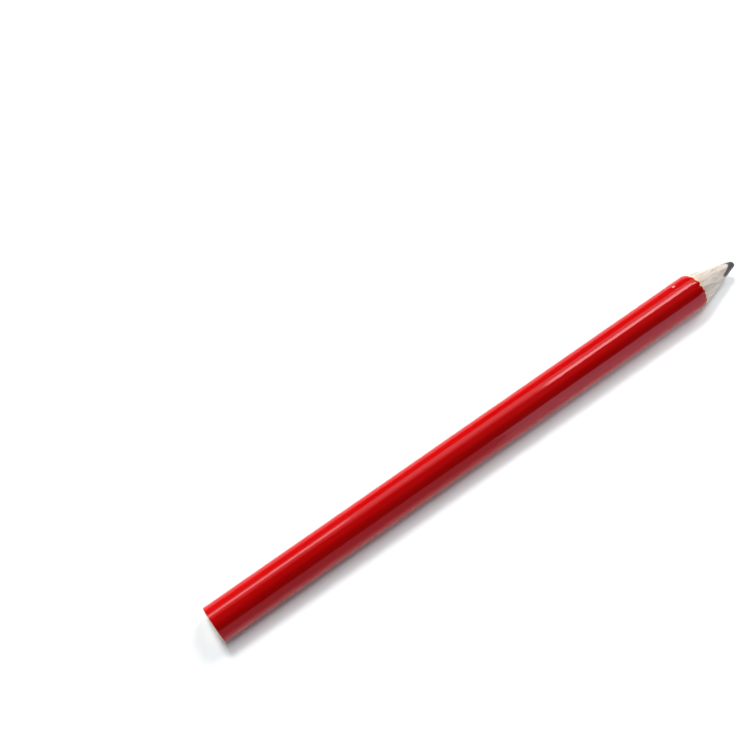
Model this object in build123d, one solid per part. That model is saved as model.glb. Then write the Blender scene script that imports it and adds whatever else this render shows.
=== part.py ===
"""Oval carpenter pencil: two cedar slats glued round a flat graphite core, then primed and lacquered.

Units are millimetres. The pencil lies on one of its wide faces, as it does on a bench:
+X runs along it to the writing tip, Y across its width and +Z up through its thickness.
The origin is on the resting plane, midway along the length.
"""

import math
import os

from build123d import *

# The whole pencil, over the lacquer
LENGTH = 240.0
WIDTH = 14.5
THICKNESS = 11.0
FLATTENING = 0.2  # taken off the oval's crown on each wide face, so that the pencil lies still

# The coats, from the outside in
CLEAR_COAT = 0.12
RED_LACQUER = 0.14
BASE_COAT = 0.14

# The graphite core is a flat strip lying across the width
CORE_WIDTH = 5.8
CORE_THICKNESS = 3.0
CORE_CORNER_RADIUS = 0.8
CORE_ROLL = -14.0  # degrees: the core lies askew in its bed, with its -Y edge up

# Dried glue, in the joint between the slats and round the core
GLUE = 0.1

# The sharpened end is an oval cone whose point is worn off, a little rounder than the pencil
SHARPENED_LENGTH = 18.8  # from the tip to the edge of the paint, above and below
SIDE_SWEEP = 1.2  # how much further back the paint's edge is at the sides
WORN_OFF = 3.5  # from the worn tip on to the cone's missing point
TIP_ROUNDING = 0.6

TAIL_X = -LENGTH / 2
TIP_X = LENGTH / 2
AXIS_Z = THICKNESS / 2
CUTTER_OVERRUN = 10.0

# The cone's half width and half thickness grow by these for each millimetre behind its point
CONE_WIDE_SLOPE = (WIDTH / 2) / (SHARPENED_LENGTH + SIDE_SWEEP + WORN_OFF)
CONE_THIN_SLOPE = (THICKNESS / 2) / (SHARPENED_LENGTH + WORN_OFF)

# Depth of each coat's inner face below the outside of the pencil
UNDER_CLEAR_COAT = CLEAR_COAT
UNDER_LACQUER = UNDER_CLEAR_COAT + RED_LACQUER
UNDER_BASE_COAT = UNDER_LACQUER + BASE_COAT


def across_pencil(x):
    """The plane across the pencil at x: its own x is the width and its own y is the thickness."""
    return Plane(origin=(x, 0, AXIS_Z), x_dir=(0, 1, 0), z_dir=(1, 0, 0))


def oval(half_width, half_thickness):
    """An ellipse in two halves that meet above and below the core, clear of the glue joint."""
    halves = []
    for start in (-90, 90):
        half = EllipticalCenterArc(
            center=(0, 0),
            x_radius=half_width,
            y_radius=half_thickness,
            start_angle=start,
            arc_size=180,
        )
        halves.append(half)
    return make_face(halves)


def oval_bar(depth):
    """The whole length of the pencil's oval, with its surface this far below the outside."""
    crowned = oval(WIDTH / 2 - depth, THICKNESS / 2 + FLATTENING - depth)
    between_faces = Rectangle(WIDTH, THICKNESS - 2 * depth)
    return extrude(across_pencil(TAIL_X) * (crowned & between_faces), LENGTH)


def core_bar(film):
    """The whole length of the core's round-cornered strip, with a film this thick all round it."""
    strip = RectangleRounded(
        CORE_WIDTH + 2 * film,
        CORE_THICKNESS + 2 * film,
        CORE_CORNER_RADIUS + film,
        rotation=CORE_ROLL,
    )
    return extrude(across_pencil(TAIL_X) * strip, LENGTH)


def sharpening_cone():
    """All that a sharpener leaves: an oval cone from the rounded tip back past the tail."""
    back_x = TAIL_X - CUTTER_OVERRUN
    sections = []
    for x in (back_x, TIP_X):
        behind_point = TIP_X + WORN_OFF - x
        section = oval(behind_point * CONE_WIDE_SLOPE, behind_point * CONE_THIN_SLOPE)
        sections.append(across_pencil(x) * section)
    cone = loft(sections, ruled=True)
    tip_edges = cone.edges().group_by(Axis.X)[-1]
    return fillet(tip_edges, TIP_ROUNDING)


def cone_x(half_width):
    """Where the cone is this wide each side of the centre."""
    return TIP_X + WORN_OFF - half_width / CONE_WIDE_SLOPE


def half_space(sign, gap):
    """A block over the whole pencil, above (+1) or below (-1) the parting plane by the gap."""
    height = THICKNESS
    block = Box(LENGTH + 2 * CUTTER_OVERRUN, WIDTH + 2 * CUTTER_OVERRUN, height)
    return Pos(0, 0, AXIS_Z + sign * (gap + height / 2)) * block


def build_slat(sign):
    """One half of the wooden body, with the groove for its half of the core."""
    return (oval_bar(UNDER_BASE_COAT) & half_space(sign, GLUE / 2)) - core_bar(GLUE)


def build_core():
    """The graphite strip."""
    return core_bar(0)


def build_core_glue():
    """The film that beds the core in both grooves."""
    return core_bar(GLUE) - core_bar(0)


def build_seam_glue(side):
    """The film between the slats, on one side of the core's bed (+1 is +Y), cut to the cone."""
    roll = math.radians(abs(CORE_ROLL))
    bed_edge = (CORE_WIDTH / 2 + GLUE) / math.cos(roll) + GLUE / 2 * math.tan(roll)
    wood_half_width = WIDTH / 2 - UNDER_BASE_COAT
    wood_half_thickness = THICKNESS / 2 + FLATTENING - UNDER_BASE_COAT
    coat_edge = wood_half_width * math.sqrt(1 - (GLUE / 2 / wood_half_thickness) ** 2)
    corners = [
        (TAIL_X, side * bed_edge),
        (TAIL_X, side * coat_edge),
        (cone_x(coat_edge), side * coat_edge),
        (cone_x(bed_edge), side * bed_edge),
    ]
    strip = make_face(Polyline(*corners, close=True))
    return Pos(0, 0, AXIS_Z) * extrude(strip, GLUE / 2, both=True)


def build_coat(outer_depth, inner_depth):
    """One coat of paint: an oval tube, open at the sawn tail and at the cone."""
    return oval_bar(outer_depth) - oval_bar(inner_depth)


def build_blanks():
    """Every piece that the sharpener cuts, by name, at its full length."""
    return {
        "upper_slat": build_slat(1),
        "lower_slat": build_slat(-1),
        "graphite_core": build_core(),
        "core_glue": build_core_glue(),
        "base_coat": build_coat(UNDER_LACQUER, UNDER_BASE_COAT),
        "red_lacquer": build_coat(UNDER_CLEAR_COAT, UNDER_LACQUER),
        "clear_coat": build_coat(0, UNDER_CLEAR_COAT),
    }


def main():
    os.makedirs("parts", exist_ok=True)
    cone = sharpening_cone()
    for name, blank in build_blanks().items():
        export_step(blank & cone, f"parts/{name}.step")
    export_step(build_seam_glue(1), "parts/seam_glue_left.step")
    export_step(build_seam_glue(-1), "parts/seam_glue_right.step")


main()
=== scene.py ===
"""Looks for the oval carpenter pencil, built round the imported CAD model.

Lengths are millimetres until a mesh is made, where they become metres. +X runs along the pencil
to its tip, Y across it and +Z up. In a section, z is measured from the pencil's own axis.
Every piece ends on the same two surfaces: the cut that the sharpener left, and the sawn tail.
Only the lacquer stops a little short of the cut, where it has flaked back.
"""

import math

import bmesh
import bpy
from mathutils import Euler, Matrix, Vector, noise


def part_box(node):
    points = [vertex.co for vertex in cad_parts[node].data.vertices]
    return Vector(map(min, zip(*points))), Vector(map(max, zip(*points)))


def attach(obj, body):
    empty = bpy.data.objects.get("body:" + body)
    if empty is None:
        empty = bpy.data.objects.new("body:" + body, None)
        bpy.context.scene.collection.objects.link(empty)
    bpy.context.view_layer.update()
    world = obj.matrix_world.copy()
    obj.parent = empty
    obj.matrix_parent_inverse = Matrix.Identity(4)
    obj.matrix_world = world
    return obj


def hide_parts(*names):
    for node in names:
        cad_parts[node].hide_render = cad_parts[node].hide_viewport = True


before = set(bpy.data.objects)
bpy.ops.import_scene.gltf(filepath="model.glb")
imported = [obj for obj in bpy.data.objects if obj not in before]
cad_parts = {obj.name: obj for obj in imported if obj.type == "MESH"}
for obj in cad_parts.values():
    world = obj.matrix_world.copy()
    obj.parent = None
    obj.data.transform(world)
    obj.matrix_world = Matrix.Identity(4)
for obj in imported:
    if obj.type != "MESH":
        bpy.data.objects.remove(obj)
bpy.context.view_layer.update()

MM = 0.001


def half_size(node):
    """Half the width and half the thickness of a CAD node."""
    low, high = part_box(node)
    return (high.y - low.y) / 2 / MM, (high.z - low.z) / 2 / MM


# Sizes that the CAD model gives
BODY_HALF_WIDTH, BODY_HALF_THICKNESS = half_size("clear_coat")
PRIMER_HALF_WIDTH = half_size("base_coat")[0]
WOOD_HALF_WIDTH = half_size("upper_slat")[0]
SEAM_HALF_THICKNESS = half_size("seam_glue_left")[1]
SEAM_INNER_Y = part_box("seam_glue_left")[0].y / MM
TAIL_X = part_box("graphite_core")[0].x / MM
TIP_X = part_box("graphite_core")[1].x / MM
AXIS_Z = BODY_HALF_THICKNESS
LACQUER_DEPTH = BODY_HALF_WIDTH - PRIMER_HALF_WIDTH
WOOD_DEPTH = BODY_HALF_WIDTH - WOOD_HALF_WIDTH

# The CAD model's own values, repeated
CORE_HALF_WIDTH = 2.9
CORE_HALF_THICKNESS = 1.5
CORE_CORNER_RADIUS = 0.8
CORE_ROLL = math.radians(-14)
GLUE = 0.1
SHARPENED_LENGTH = 18.8
SIDE_SWEEP = 1.2
WORN_OFF = 3.5

# Shapes that only the looks have
FLATTENING = 0.03  # taken off the oval's crown: a fainter flat than the CAD model's
FLAT_EDGE_SOFTNESS = 0.02  # how gently the flat turns into the oval
TAIL_BEVEL = 0.3  # how far the tail's edge is worn back along the pencil
TAIL_BEVEL_FROM = 0.9  # share of the way out to the surface where that wear begins
SAW_MARK_DEPTH = 0.03  # how uneven the sawn tail is, and so how far it's set back
TIP_SOFTNESS = 0.35  # how gently the worn tip turns into the cone
TIP_LEAN = 0.12  # how far the worn tip falls back for each millimetre towards +Y
TIP_CROWN_Y = 0.05  # how far it rounds back for each square millimetre across
TIP_CROWN_Z = 0.03  # and up or down
PAINT_SETBACK = 0.2  # how far behind the true cone the paint's edge lies
PAINT_LEAN = 0.28  # how much further behind on the left, and nearer on the right
PAINT_WAVERS = ((1.1, 3.0, 0.08), (4.0, 8.0, 0.07), (14.0, 21.0, 0.05))  # rate, seed, depth
NOTCH_ANGLE = math.radians(96)  # where a chip is out of the paint's edge, round from +Y
NOTCH_HALF_WIDTH = math.radians(4.5)
NOTCH_DEPTH = 0.3  # how far back the chip takes the cut at the pencil's surface
LACQUER_NOTCH_DEPTH = 0.5  # how much further it takes the lacquer, which bares the primer
FLAKE_RATE, FLAKE_SEED = 9.0, 40.0  # where else the lacquer has flaked back from the primer
FLAKE_FROM = 0.25  # how high the random value has to be for a flake to be gone
FLAKE_DEPTH = 0.5
LONG_RIPPLE = 0.012  # depth of the lacquer's long waves
SHORT_RIPPLE = 0.004
PIECE_GAP = 0.002  # keeps a piece's outside clear of the next piece's inside

# The cone as it was before its point was worn off
POINT_X = TIP_X + WORN_OFF
CONE_LENGTH = SHARPENED_LENGTH + WORN_OFF
SIDE_CONE_LENGTH = CONE_LENGTH + SIDE_SWEEP


# ---------------------------------------------------------------- section outlines


def soft_min(value, limit, softness):
    """The smaller of the two, with a soft turn between them."""
    over = (value - limit) / softness
    if over > 40:  # far past the turn, where exp could overflow
        return limit
    return value - softness * math.log(1 + math.exp(over))


def body_outline(angle, depth):
    """A point on the oval this far below the pencil's surface."""
    y = (BODY_HALF_WIDTH - depth) * math.cos(angle)
    z = (BODY_HALF_THICKNESS + FLATTENING - depth) * math.sin(angle)
    height = soft_min(abs(z), BODY_HALF_THICKNESS - depth, FLAT_EDGE_SOFTNESS)
    return y, math.copysign(height, z)


def strip_outline(angle, half_width, half_thickness, radius):
    """Where a ray from the centre of a flat strip with round corners leaves it."""
    across, up = math.cos(angle), math.sin(angle)
    inner_width, inner_thickness = half_width - radius, half_thickness - radius
    to_side = half_width / max(abs(across), 1e-9)
    to_face = half_thickness / max(abs(up), 1e-9)
    reach = min(to_side, to_face)
    if reach * abs(across) > inner_width and reach * abs(up) > inner_thickness:
        along = inner_width * abs(across) + inner_thickness * abs(up)
        off_square = inner_width**2 + inner_thickness**2 - radius**2
        reach = along + math.sqrt(max(along**2 - off_square, 0))
    return reach * across, reach * up


def bed_outline(angle, film):
    """A point on the rolled core, or this far outside it."""
    y, z = strip_outline(angle - CORE_ROLL, CORE_HALF_WIDTH + film, CORE_HALF_THICKNESS + film,
                         CORE_CORNER_RADIUS + film)
    across, up = math.cos(CORE_ROLL), math.sin(CORE_ROLL)
    return y * across - z * up, y * up + z * across


def core_outline(angle):
    return bed_outline(angle, 0)


def glue_outline(angle):
    return bed_outline(angle, GLUE)


# ---------------------------------------------------------------- the two end surfaces


def waver(angle, rate, seed):
    """A smooth random value, about -1 to 1, that closes on itself round the pencil."""
    place = Vector((math.cos(angle) * rate, math.sin(angle) * rate, seed))
    return 2 * noise.noise(place)


def dip(angle, centre, half_width):
    """A smooth notch, 1 at its centre."""
    away = math.remainder(angle - centre, math.tau) / half_width
    return math.exp(-away * away)


def paint_edge_shift(angle):
    """How far the edge of the paint strays from the true cone, towards the tip."""
    stray = -PAINT_SETBACK - PAINT_LEAN * math.cos(angle)
    for rate, seed, depth in PAINT_WAVERS:
        stray += depth * waver(angle, rate, seed)
    return stray - NOTCH_DEPTH * dip(angle, NOTCH_ANGLE, NOTCH_HALF_WIDTH)


def size_in_cone(y, z):
    """1 on the full-sized cone's section, 0 on the axis."""
    return math.hypot(y / BODY_HALF_WIDTH, z / BODY_HALF_THICKNESS)


def cut_x(y, z):
    """Where the sharpener's cut lies over this point of the section."""
    size = size_in_cone(y, z)
    angle = math.atan2(z / BODY_HALF_THICKNESS, y / BODY_HALF_WIDTH)
    side_reach = y / BODY_HALF_WIDTH * SIDE_CONE_LENGTH
    top_reach = z / BODY_HALF_THICKNESS * CONE_LENGTH
    cone_x = POINT_X - math.hypot(side_reach, top_reach) + paint_edge_shift(angle) * size**4
    worn_x = TIP_X - TIP_LEAN * y - TIP_CROWN_Z * z * z - TIP_CROWN_Y * y * y
    return soft_min(cone_x, worn_x, TIP_SOFTNESS)


def tail_x(y, z):
    """Where the sawn tail lies over this point of the section."""
    outward = (size_in_cone(y, z) - TAIL_BEVEL_FROM) / (1 - TAIL_BEVEL_FROM)
    saw_mark = SAW_MARK_DEPTH * noise.noise(Vector((y * 0.9, z * 0.9, 5.0)))
    return TAIL_X + SAW_MARK_DEPTH + saw_mark + TAIL_BEVEL * max(outward, 0) ** 1.5


# ---------------------------------------------------------------- meshes

SHARP_EDGE = math.radians(28)  # edges that turn more than this stay sharp


def ring_section(outlines, count):
    """Rows of points round the pencil, one row for each outline, from the inside out."""
    angles = [math.tau * number / count for number in range(count)]
    return [[outline(angle) for angle in angles] for outline in outlines]


def between(inner, outer, steps):
    """Outlines from the inner to the outer one, evenly spaced."""

    def part_way(share):
        def outline(angle):
            near, far = inner(angle), outer(angle)
            return tuple(n + (f - n) * share for n, f in zip(near, far))

        return outline

    return [part_way(number / steps) for number in range(steps + 1)]


def section_loops(rows, columns, wraps):
    """The section's edges as closed loops of (row, column)."""
    outer = [(rows - 1, column) for column in range(columns)]
    inner = [(0, column) for column in range(columns)]
    if wraps:
        return [outer, inner]
    last_side = [(row, columns - 1) for row in range(rows - 2, 0, -1)]
    first_side = [(row, 0) for row in range(1, rows - 1)]
    return [outer + last_side + inner[::-1] + first_side]


def grid_faces(grid, wraps):
    """Faces between the rows of a grid of point numbers."""
    columns = len(grid[0])
    faces = []
    for near, far in zip(grid, grid[1:]):
        for column in range(columns if wraps else columns - 1):
            after = (column + 1) % columns
            faces.append((near[column], near[after], far[after], far[column]))
    return faces


def fan_faces(hub, row):
    """Faces from one point to a closed row of points."""
    return [(hub, point, after) for point, after in zip(row, row[1:] + row[:1])]


def build_mesh_object(name, points, faces):
    """An object whose faces point outwards and shade smoothly, apart from its sharp edges."""
    mesh = bpy.data.meshes.new(name)
    mesh.from_pydata(points, [], faces)
    work = bmesh.new()
    work.from_mesh(mesh)
    bmesh.ops.recalc_face_normals(work, faces=work.faces)
    work.to_mesh(mesh)
    work.free()
    mesh.shade_smooth()
    mesh.set_sharp_from_angle(angle=SHARP_EDGE)
    piece = bpy.data.objects.new(name, mesh)
    bpy.context.scene.collection.objects.link(piece)
    return piece


def build_bar(name, section, wraps, stations, centre=False, front=cut_x, surface=None):
    """A closed bar with this section, from the tail to the cut.

    section is rows of (y, z), from the inside out. wraps says that each row closes on itself.
    centre closes the innermost row on the axis. stations are shares of the way along.
    front gives the x of the cut end, and surface moves a point on the bar's outer side.
    """
    points, faces = [], []

    def add_point(x, y, z):
        points.append((x * MM, y * MM, (z + AXIS_Z) * MM))
        return len(points) - 1

    ends = []
    for end_x in (tail_x, front):
        grid = [[add_point(end_x(y, z), y, z) for y, z in row] for row in section]
        faces += grid_faces(grid, wraps)
        if centre:
            faces += fan_faces(add_point(end_x(0, 0), 0, 0), grid[0])
        ends.append(grid)

    loops = section_loops(len(section), len(section[0]), wraps)
    if centre:
        loops = loops[:1]
    for loop in loops:
        bands = [[ends[0][row][column] for row, column in loop]]
        for station in stations[1:-1]:
            band = []
            for row, column in loop:
                y, z = section[row][column]
                x = tail_x(y, z) + (front(y, z) - tail_x(y, z)) * station
                if surface and row == len(section) - 1:
                    y, z = surface(x, y, z)
                band.append(add_point(x, y, z))
            bands.append(band)
        bands.append([ends[1][row][column] for row, column in loop])
        faces += grid_faces(bands, True)
    return build_mesh_object(name, points, faces)


def finish_piece(piece, material, slot, *nodes):
    """Gives a piece its material and its body, and hides the CAD nodes that it stands for. slot is
    not used.
    """
    piece.data.materials.append(material)
    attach(piece, "root")
    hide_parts(*nodes)
    return piece


# ---------------------------------------------------------------- materials


class Nodes:
    """A new material's node tree, with short ways to add and join nodes."""

    def __init__(self, name):
        self.material = bpy.data.materials.new(name)
        self.material.use_nodes = True
        self.tree = self.material.node_tree
        self.shader = self.tree.nodes["Principled BSDF"]
        place = self.tree.nodes.new("ShaderNodeTexCoord")
        self.place = place.outputs["Object"]

    def plug(self, value, socket):
        """Joins an output to a socket, or sets the socket to a value."""
        if isinstance(value, bpy.types.NodeSocket):
            self.tree.links.new(value, socket)
        elif socket.type == "RGBA":
            socket.default_value = (*value, 1)
        else:
            socket.default_value = value

    def set(self, **values):
        """Sets or joins the shader's sockets, named with _ for a space."""
        for name, value in values.items():
            self.plug(value, self.shader.inputs[name.replace("_", " ")])

    def add(self, kind, settings=None, **inputs):
        """Adds a node. An input is a value or another node's output."""
        node = self.tree.nodes.new(kind)
        for name, value in (settings or {}).items():
            setattr(node, name, value)
        for name, value in inputs.items():
            self.plug(value, node.inputs[name.replace("_", " ")])
        return node

    def stretched(self, per_mm, turn=(0, 0, 0)):
        """The place on the object, in features per millimetre along X, Y and Z."""
        scale = tuple(value / MM for value in per_mm)
        mapping = self.add("ShaderNodeMapping", Vector=self.place, Scale=scale, Rotation=turn)
        return mapping.outputs["Vector"]

    def noise(self, per_mm, detail=3.0, roughness=0.5, turn=(0, 0, 0)):
        """Noise with this many features per millimetre along X, Y and Z."""
        where = self.stretched(per_mm, turn)
        node = self.add("ShaderNodeTexNoise", Vector=where, Scale=1.0, Detail=detail,
                        Roughness=roughness)
        return node.outputs["Fac"]

    def ramp(self, value, *stops):
        """Turns a value into a colour. Each stop is (place, colour)."""
        node = self.add("ShaderNodeValToRGB", Fac=value)
        marks = node.color_ramp.elements
        while len(marks) < len(stops):
            marks.new(0.5)
        for mark, (place, colour) in zip(marks, stops):
            mark.position = place
            mark.color = (*colour, 1)
        return node.outputs["Color"]

    def mask(self, value, start, end):
        """0 below start, 1 above end."""
        node = self.add("ShaderNodeMapRange", {"interpolation_type": "SMOOTHSTEP"}, Value=value,
                        From_Min=start, From_Max=end)
        return node.outputs["Result"]

    def blend(self, share, first, second):
        """Mixes two colours."""
        node = self.add("ShaderNodeMix", {"data_type": "RGBA"})
        # The colour sockets share their names with hidden ones, so they go by number
        for value, number in ((share, 0), (first, 6), (second, 7)):
            self.plug(value, node.inputs[number])
        return node.outputs[2]

    def math(self, operation, first, second):
        """One step of arithmetic."""
        node = self.add("ShaderNodeMath", {"operation": operation})
        self.plug(first, node.inputs[0])
        self.plug(second, node.inputs[1])
        return node.outputs["Value"]

    def distance(self, point):
        """How far a place is from this point, which is in millimetres."""
        node = self.add("ShaderNodeVectorMath", {"operation": "DISTANCE"})
        self.plug(self.place, node.inputs[0])
        self.plug([value * MM for value in point], node.inputs[1])
        return node.outputs["Value"]

    def bump(self, height, depth, under=None):
        """A bump this many millimetres deep, on top of another one."""
        node = self.add("ShaderNodeBump", Strength=1.0, Distance=depth * MM, Height=height)
        if under:
            self.plug(under, node.inputs["Normal"])
        return node.outputs["Normal"]


RED = (0.47, 0.0012, 0.0014)
DEEP_RED = (0.43, 0.0008, 0.0012)
PALE_FLECK_PINK = (0.80, 0.27, 0.23)  # a pale pink, in one small fleck of the lacquer's colour
PALE_FLECK_PLACE = (93.4, 5.0, 9.5)  # where the lacquer's colour turns pale pink in one small fleck, near the paint's edge
PALE_FLECK_START, PALE_FLECK_END = 0.8 * MM, 1.05 * MM  # where its edge begins and ends, out from there
PALE_FLECK_RAGGEDNESS = 0.8 * MM


def lacquer_material():
    """Glossy red lacquer with faint draw lines along the pencil, orange peel, and one small pale
    pink fleck in its colour.
    """
    look = Nodes("red_lacquer_gloss")
    cloud = look.noise((0.03, 0.25, 0.25), detail=4.0)
    colour = look.ramp(cloud, (0.3, DEEP_RED), (0.65, RED))
    # A small ragged fleck where the base colour turns pale pink
    ragged = look.math("MULTIPLY", look.noise((2.5, 2.5, 2.5)), PALE_FLECK_RAGGEDNESS)
    from_pale_fleck = look.math("ADD", look.distance(PALE_FLECK_PLACE), ragged)
    pale_fleck = look.math("SUBTRACT", 1.0, look.mask(from_pale_fleck, PALE_FLECK_START, PALE_FLECK_END))
    smear = look.noise((0.05, 0.5, 0.5), detail=5.0)
    draw_lines = look.noise((0.012, 3.2, 3.2), detail=3.0)
    peel = look.noise((0.7, 0.9, 0.9), detail=2.0)
    look.set(Base_Color=look.blend(pale_fleck, colour, PALE_FLECK_PINK), Roughness=look.mask(smear, -0.6, 2.2),
             Normal=look.bump(peel, 0.001, look.bump(draw_lines, 0.003)), Specular_IOR_Level=0.05,
             Coat_Weight=0.62, Coat_Roughness=0.06, Coat_IOR=1.5)
    return look.material


def primer_material():
    """The matt cream base coat that shows as a thin line where the paint is cut."""
    look = Nodes("cream_base_coat")
    patch = look.noise((1.2, 1.2, 1.2), detail=4.0)
    look.set(Base_Color=look.ramp(patch, (0.3, (0.74, 0.50, 0.27)), (0.7, (0.84, 0.70, 0.47))),
             Normal=look.bump(look.noise((5.0, 5.0, 5.0)), 0.02), Roughness=0.75)
    return look.material


def wood_material():
    """Pale bare wood: growth bands, fine fibres along the pencil, and pores."""
    look = Nodes("pale_pencil_wood")
    lean = (0, 0, math.radians(1.2))  # the grain isn't quite true to the pencil
    bands = look.noise((0.015, 0.9, 0.1), detail=3.0, turn=lean)
    colour = look.ramp(bands, (0.35, (0.69, 0.60, 0.52)), (0.6, (0.79, 0.715, 0.635)))
    fibres = look.noise((0.08, 4.0, 0.3), detail=4.0, roughness=0.65, turn=lean)
    colour = look.blend(look.mask(fibres, 0.46, 0.62), colour, (0.44, 0.36, 0.31))
    pores = look.noise((0.25, 7.0, 0.6), detail=2.0, turn=lean)
    pore_share = look.math("MULTIPLY", look.mask(pores, 0.56, 0.70), 0.7)
    colour = look.blend(pore_share, colour, (0.24, 0.19, 0.16))
    look.set(Base_Color=colour, Normal=look.bump(pores, -0.02, look.bump(fibres, 0.05)),
             Roughness=0.62, Specular_IOR_Level=0.3)
    return look.material


def graphite_material():
    """Dark grey graphite with a dull sheen, scored by the sharpener."""
    look = Nodes("graphite_lead")
    grain = look.noise((3.0, 6.0, 6.0), detail=5.0, roughness=0.65)
    scores = look.noise((0.8, 7.0, 7.0), detail=3.0)
    look.set(Base_Color=look.ramp(grain, (0.3, (0.075, 0.077, 0.088)), (0.7, (0.12, 0.121, 0.135))),
             Roughness=look.mask(grain, -0.9, 2.0), Metallic=0.35, Specular_IOR_Level=0.5,
             Normal=look.bump(scores, 0.03, look.bump(grain, 0.02)))
    return look.material


def glue_material():
    """Dried amber glue."""
    look = Nodes("dried_wood_glue")
    patch = look.noise((2.0, 4.0, 4.0), detail=3.0)
    look.set(Base_Color=look.ramp(patch, (0.3, (0.36, 0.27, 0.17)), (0.7, (0.55, 0.44, 0.3))),
             Normal=look.bump(patch, 0.02), Roughness=0.5)
    return look.material


def floor_material():
    """Plain white paper."""
    look = Nodes("white_paper")
    patch = look.noise((0.01, 0.01, 0.01), detail=2.0)
    look.set(Base_Color=look.ramp(patch, (0.3, (0.90, 0.905, 0.915)), (0.7, (0.91, 0.91, 0.91))),
             Roughness=0.9, Specular_IOR_Level=0.1)
    return look.material


def backdrop_material():
    """A plain pale glow."""
    look = Nodes("backdrop_paper")
    look.set(Base_Color=(0, 0, 0), Specular_IOR_Level=0.0, Emission_Color=(0.86, 0.865, 0.87),
             Emission_Strength=1.0)
    return look.material


# ---------------------------------------------------------------- the pieces

RING = 240  # points round the pencil
LACQUER_BANDS = 120  # bands along the lacquer
SEAM_STEPS = 24  # points across each strip of seam glue
OUTER_STATIONS = (0, 0.02, 0.5, 0.98, 1)  # along the primer and the slats
INNER_STATIONS = (0, 0.5, 1)  # along the lead and the glue


def lacquer_surface(x, y, z):
    """The lacquer's own ripples, which only go inwards."""
    ripple = LONG_RIPPLE * noise.noise(Vector((x * 0.02, y * 0.25, z * 0.25)))
    ripple += SHORT_RIPPLE * noise.noise(Vector((x * 0.08, y * 0.7, z * 0.7)))
    inward = min(ripple - (LONG_RIPPLE + SHORT_RIPPLE) / 2, 0)
    length = math.hypot(y, z)
    return y * (1 + inward / length), z * (1 + inward / length)


def lacquer_front(y, z):
    """The lacquer's cut edge, which has flaked back a little in places."""
    angle = math.atan2(z / BODY_HALF_THICKNESS, y / BODY_HALF_WIDTH)
    flaked = FLAKE_DEPTH * max(0, waver(angle, FLAKE_RATE, FLAKE_SEED) - FLAKE_FROM)
    flaked += LACQUER_NOTCH_DEPTH * dip(angle, NOTCH_ANGLE, NOTCH_HALF_WIDTH)
    return cut_x(y, z) - flaked


def build_lacquer():
    outlines = between(lambda a: body_outline(a, LACQUER_DEPTH),
                       lambda a: body_outline(a, 0), steps=4)
    stations = [number / LACQUER_BANDS for number in range(LACQUER_BANDS + 1)]
    piece = build_bar("lacquer_skin", ring_section(outlines, RING), True, stations,
                      front=lacquer_front, surface=lacquer_surface)
    return finish_piece(piece, lacquer_material(), "red_lacquer", "red_lacquer", "clear_coat")


def build_primer():
    outlines = between(lambda a: body_outline(a, WOOD_DEPTH),
                       lambda a: body_outline(a, LACQUER_DEPTH + PIECE_GAP), steps=3)
    piece = build_bar("primer_skin", ring_section(outlines, RING), True, OUTER_STATIONS)
    return finish_piece(piece, primer_material(), "cream_primer", "base_coat")


def slat_outline(outline, side):
    """An outline with its points held clear of the glue joint, above (+1) or below (-1) it."""

    def held(angle):
        y, z = outline(angle)
        return y, side * max(side * z, SEAM_HALF_THICKNESS)

    return held


def build_slat(name, node, side, material):
    """Half of the wooden body."""
    inner = slat_outline(glue_outline, side)
    outer = slat_outline(lambda a: body_outline(a, WOOD_DEPTH + PIECE_GAP), side)
    columns = RING // 2
    angles = [side * math.pi * number / columns for number in range(columns + 1)]
    outlines = between(inner, outer, steps=40)
    section = [[outline(angle) for angle in angles] for outline in outlines]
    piece = build_bar(name, section, False, OUTER_STATIONS)
    return finish_piece(piece, material, "pencil_wood", node)


def build_lead():
    outlines = between(lambda a: (0.0, 0.0), core_outline, steps=24)[1:]
    piece = build_bar("graphite_lead", ring_section(outlines, RING), True, INNER_STATIONS,
                      centre=True)
    return finish_piece(piece, graphite_material(), "graphite", "graphite_core")


def build_core_glue(material):
    section = ring_section(between(core_outline, glue_outline, steps=2), RING)
    piece = build_bar("core_glue_film", section, True, INNER_STATIONS)
    return finish_piece(piece, material, "dried_glue", "core_glue")


def build_seam_glue(name, node, side, material):
    """The strip of glue between the slats, on the left (+1) or the right (-1) of the core."""
    reach = WOOD_HALF_WIDTH - SEAM_INNER_Y - PIECE_GAP
    across = [side * (SEAM_INNER_Y + reach * step / SEAM_STEPS) for step in range(SEAM_STEPS + 1)]
    section = [[(y, z) for y in across] for z in (-SEAM_HALF_THICKNESS, 0, SEAM_HALF_THICKNESS)]
    piece = build_bar(name, section, False, INNER_STATIONS)
    return finish_piece(piece, material, "dried_glue", node)


def build_pencil():
    """Builds every piece, and gives the painted ones and the bare ones."""
    painted = [build_lacquer(), build_primer()]
    wood = wood_material()
    bare = [build_slat("upper_slat_wood", "upper_slat", 1, wood),
            build_slat("lower_slat_wood", "lower_slat", -1, wood),
            build_lead()]
    glue = glue_material()
    bare.append(build_core_glue(glue))
    for side_name, side in (("left", 1), ("right", -1)):
        bare.append(build_seam_glue(f"seam_glue_film_{side_name}", f"seam_glue_{side_name}", side,
                                    glue))
    return painted, bare


# ---------------------------------------------------------------- stage, light and camera

# The floor and the wall round it, in metres
FLOOR_SIZE = 16.0
BACKDROP_RADIUS = 7.5
BACKDROP_HEIGHT = 8.0

# Lamps on the pencil, low daylight on its left and a weak fill past each end: azimuth,
# elevation, and the levels on the paint and on the bare wood, glue and lead
LAMP_DISTANCE = 1.6
LAMP_SIZE = (0.7, 0.3)
PENCIL_LAMPS = {
    "daylight": (90, 16, {"paint": 68.0, "wood": 47.0}),
    "tail_fill": (185, 32, {"paint": 9.0, "wood": 27.0}),
    "tip_fill": (-12, 30, {"paint": 14.0, "wood": 19.0}),
}
# Higher light on the paper, which keeps it white and the shadow short: azimuth, elevation,
# strength and width
PAPER_SUNS = {
    "overhead": (62, 82, 0.8, 20),
    "side": (78, 53, 1.95, 15),
    "tip_side": (25, 42, 1.05, 18),
}
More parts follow.
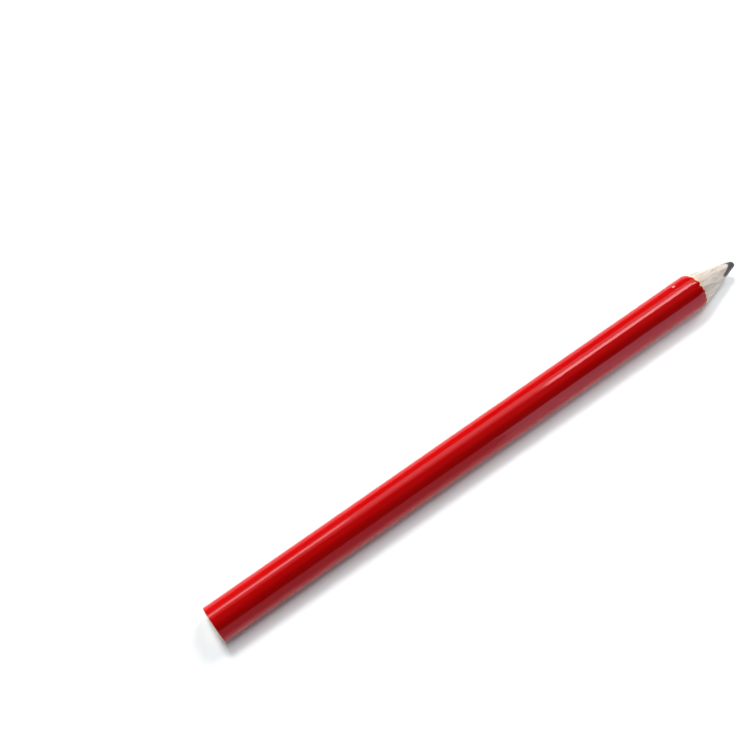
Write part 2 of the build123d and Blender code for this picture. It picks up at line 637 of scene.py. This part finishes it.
# A small low lamp that thins the paper's shadow near the tip: azimuth, elevation, distance,
# size, level and aim
PAPER_FILL = (-43, 34, 0.21, (0.12, 0.06), 3.2, 0.07)
# Panels that the lacquer reflects: azimuth, elevation, distance, size, level, aim and colour.
# Its left side shows a dim window with two bright panes and a rosy frame, and its right side
# shows a wall that is lighter towards the tip.
WARM = (1.0, 0.62, 0.66)
ROSY = (1.0, 0.12, 0.14)
LILAC = (0.88, 0.76, 1.0)
REFLECTED_PANELS = {
    "window": (90, 46, 1.24, (2.6, 0.46), 2.4, 0.25, WARM),
    "tail_pane": (90, 46, 1.2, (0.6, 0.12), 10.0, -0.24, WARM),
    "tip_pane": (90, 59.5, 1.2, (0.6, 0.28), 12.2, 0.68, WARM),
    "sash": (90, 62.5, 1.2, (2.6, 0.08), 5.2, 0.25, ROSY),
    "wall": (-90, 25.5, 1.24, (3.0, 1.17), 0.68, 0.25, LILAC),
    "lit_wall": (-90, 25.5, 1.2, (1.5, 1.13), 1.1, 1.05, LILAC),
}

# Weak light from all round, which shows in no reflection
WORLD_COLOUR = (0.78, 0.94, 1.0)
WORLD_STRENGTH = 0.2

# The camera, fitted to the photograph: lengths in millimetres, angles in degrees
CAMERA_TARGET = (-18.15, 44.85, 0.0)
CAMERA_DISTANCE = 491.8
CAMERA_AZIMUTH = 56.47  # the way it looks, round from +X
CAMERA_ELEVATION = 70.96  # how far it looks down
CAMERA_ROLL = -1.9
CAMERA_LENS = 61.87


def build_floor():
    bpy.ops.mesh.primitive_grid_add(x_subdivisions=8, y_subdivisions=8, size=FLOOR_SIZE)
    floor = bpy.context.object
    floor.name = "floor"
    floor.data.materials.append(floor_material())
    return floor


def build_backdrop():
    """A pale wall round the floor. Only the camera sees it, so it lights nothing."""
    bpy.ops.mesh.primitive_cylinder_add(vertices=96, radius=BACKDROP_RADIUS,
                                        depth=2 * BACKDROP_HEIGHT, end_fill_type="NOTHING")
    wall = bpy.context.object
    wall.name = "backdrop"
    wall.data.materials.append(backdrop_material())
    wall.visible_diffuse = False
    wall.visible_glossy = False
    wall.visible_shadow = False


def add_light(name, data, diffuse=True, glossy=True):
    """A light that the camera can't see, and that lights, or is reflected, as these say."""
    light = bpy.data.objects.new(name, data)
    bpy.context.scene.collection.objects.link(light)
    light.visible_camera = False
    light.visible_diffuse = diffuse
    light.visible_glossy = glossy
    return light


def add_panel(name, azimuth, elevation, distance, size, level, aim_x=0.0, colour=(1, 1, 1),
              **visibility):
    """A rectangular panel that faces the pencil at aim_x. Lengths are metres.

    azimuth is round from +X, elevation is up from the floor, and level is the panel's radiance.
    """
    data = bpy.data.lights.new(name, "AREA")
    data.shape = "RECTANGLE"
    data.size, data.size_y = size
    data.energy = level * size[0] * size[1] * math.pi
    data.color = colour
    flat = distance * math.cos(math.radians(elevation))
    aim = Vector((aim_x, 0, 0))
    place = Vector((aim_x + flat * math.cos(math.radians(azimuth)),
                    flat * math.sin(math.radians(azimuth)),
                    distance * math.sin(math.radians(elevation))))
    light = add_light(name, data, **visibility)
    light.location = place
    light.rotation_euler = (aim - place).to_track_quat("-Z", "Y").to_euler()
    return light


def add_sun(name, azimuth, elevation, strength, width):
    """Even light from one direction. strength is in watts per square metre, width in degrees."""
    data = bpy.data.lights.new(name, "SUN")
    data.energy = strength
    data.angle = math.radians(width)
    light = add_light(name, data, glossy=False)
    light.rotation_euler = (0, math.radians(90 - elevation), math.radians(azimuth))
    return light


def shine_only_on(light, *pieces):
    """Makes a light fall on these pieces alone."""
    group = bpy.data.collections.new(light.name + "_falls_on")
    for piece in pieces:
        group.objects.link(piece)
    light.light_linking.receiver_collection = group


def build_lights(painted, bare, floor):
    """Lights the paint, the bare parts and the paper apart, and hangs the reflected panels."""
    for kind, pieces in (("paint", painted), ("wood", bare)):
        for name, (azimuth, elevation, levels) in PENCIL_LAMPS.items():
            lamp = add_panel(f"{kind}_{name}", azimuth, elevation, LAMP_DISTANCE, LAMP_SIZE,
                             levels[kind], glossy=False)
            shine_only_on(lamp, *pieces)
    for name, sun in PAPER_SUNS.items():
        shine_only_on(add_sun("paper_" + name, *sun), floor)
    shine_only_on(add_panel("paper_fill", *PAPER_FILL, glossy=False), floor)
    for name, (*panel, colour) in REFLECTED_PANELS.items():
        add_panel(name, *panel, colour=colour, diffuse=False)


def build_world():
    world = bpy.data.worlds.new("studio")
    bpy.context.scene.world = world
    world.use_nodes = True
    background = world.node_tree.nodes["Background"]
    background.inputs["Color"].default_value = (*WORLD_COLOUR, 1)
    background.inputs["Strength"].default_value = WORLD_STRENGTH
    world.cycles_visibility.glossy = False


def build_camera():
    data = bpy.data.cameras.new("camera")
    data.lens = CAMERA_LENS
    data.clip_start = 0.01
    camera = bpy.data.objects.new("camera", data)
    bpy.context.scene.collection.objects.link(camera)
    turn = Euler((0, 0, math.radians(CAMERA_AZIMUTH - 90))).to_matrix()
    turn = turn @ Euler((math.radians(90 - CAMERA_ELEVATION), 0, 0)).to_matrix()
    turn = turn @ Euler((0, 0, math.radians(CAMERA_ROLL))).to_matrix()
    back = turn @ Vector((0, 0, CAMERA_DISTANCE))
    place = (Vector(CAMERA_TARGET) + back) * MM
    camera.matrix_world = Matrix.Translation(place) @ turn.to_4x4()
    bpy.context.scene.camera = camera


painted, bare = build_pencil()
build_lights(painted, bare, build_floor())
build_backdrop()
build_world()
build_camera()
bpy.context.scene.view_settings.view_transform = "Standard"
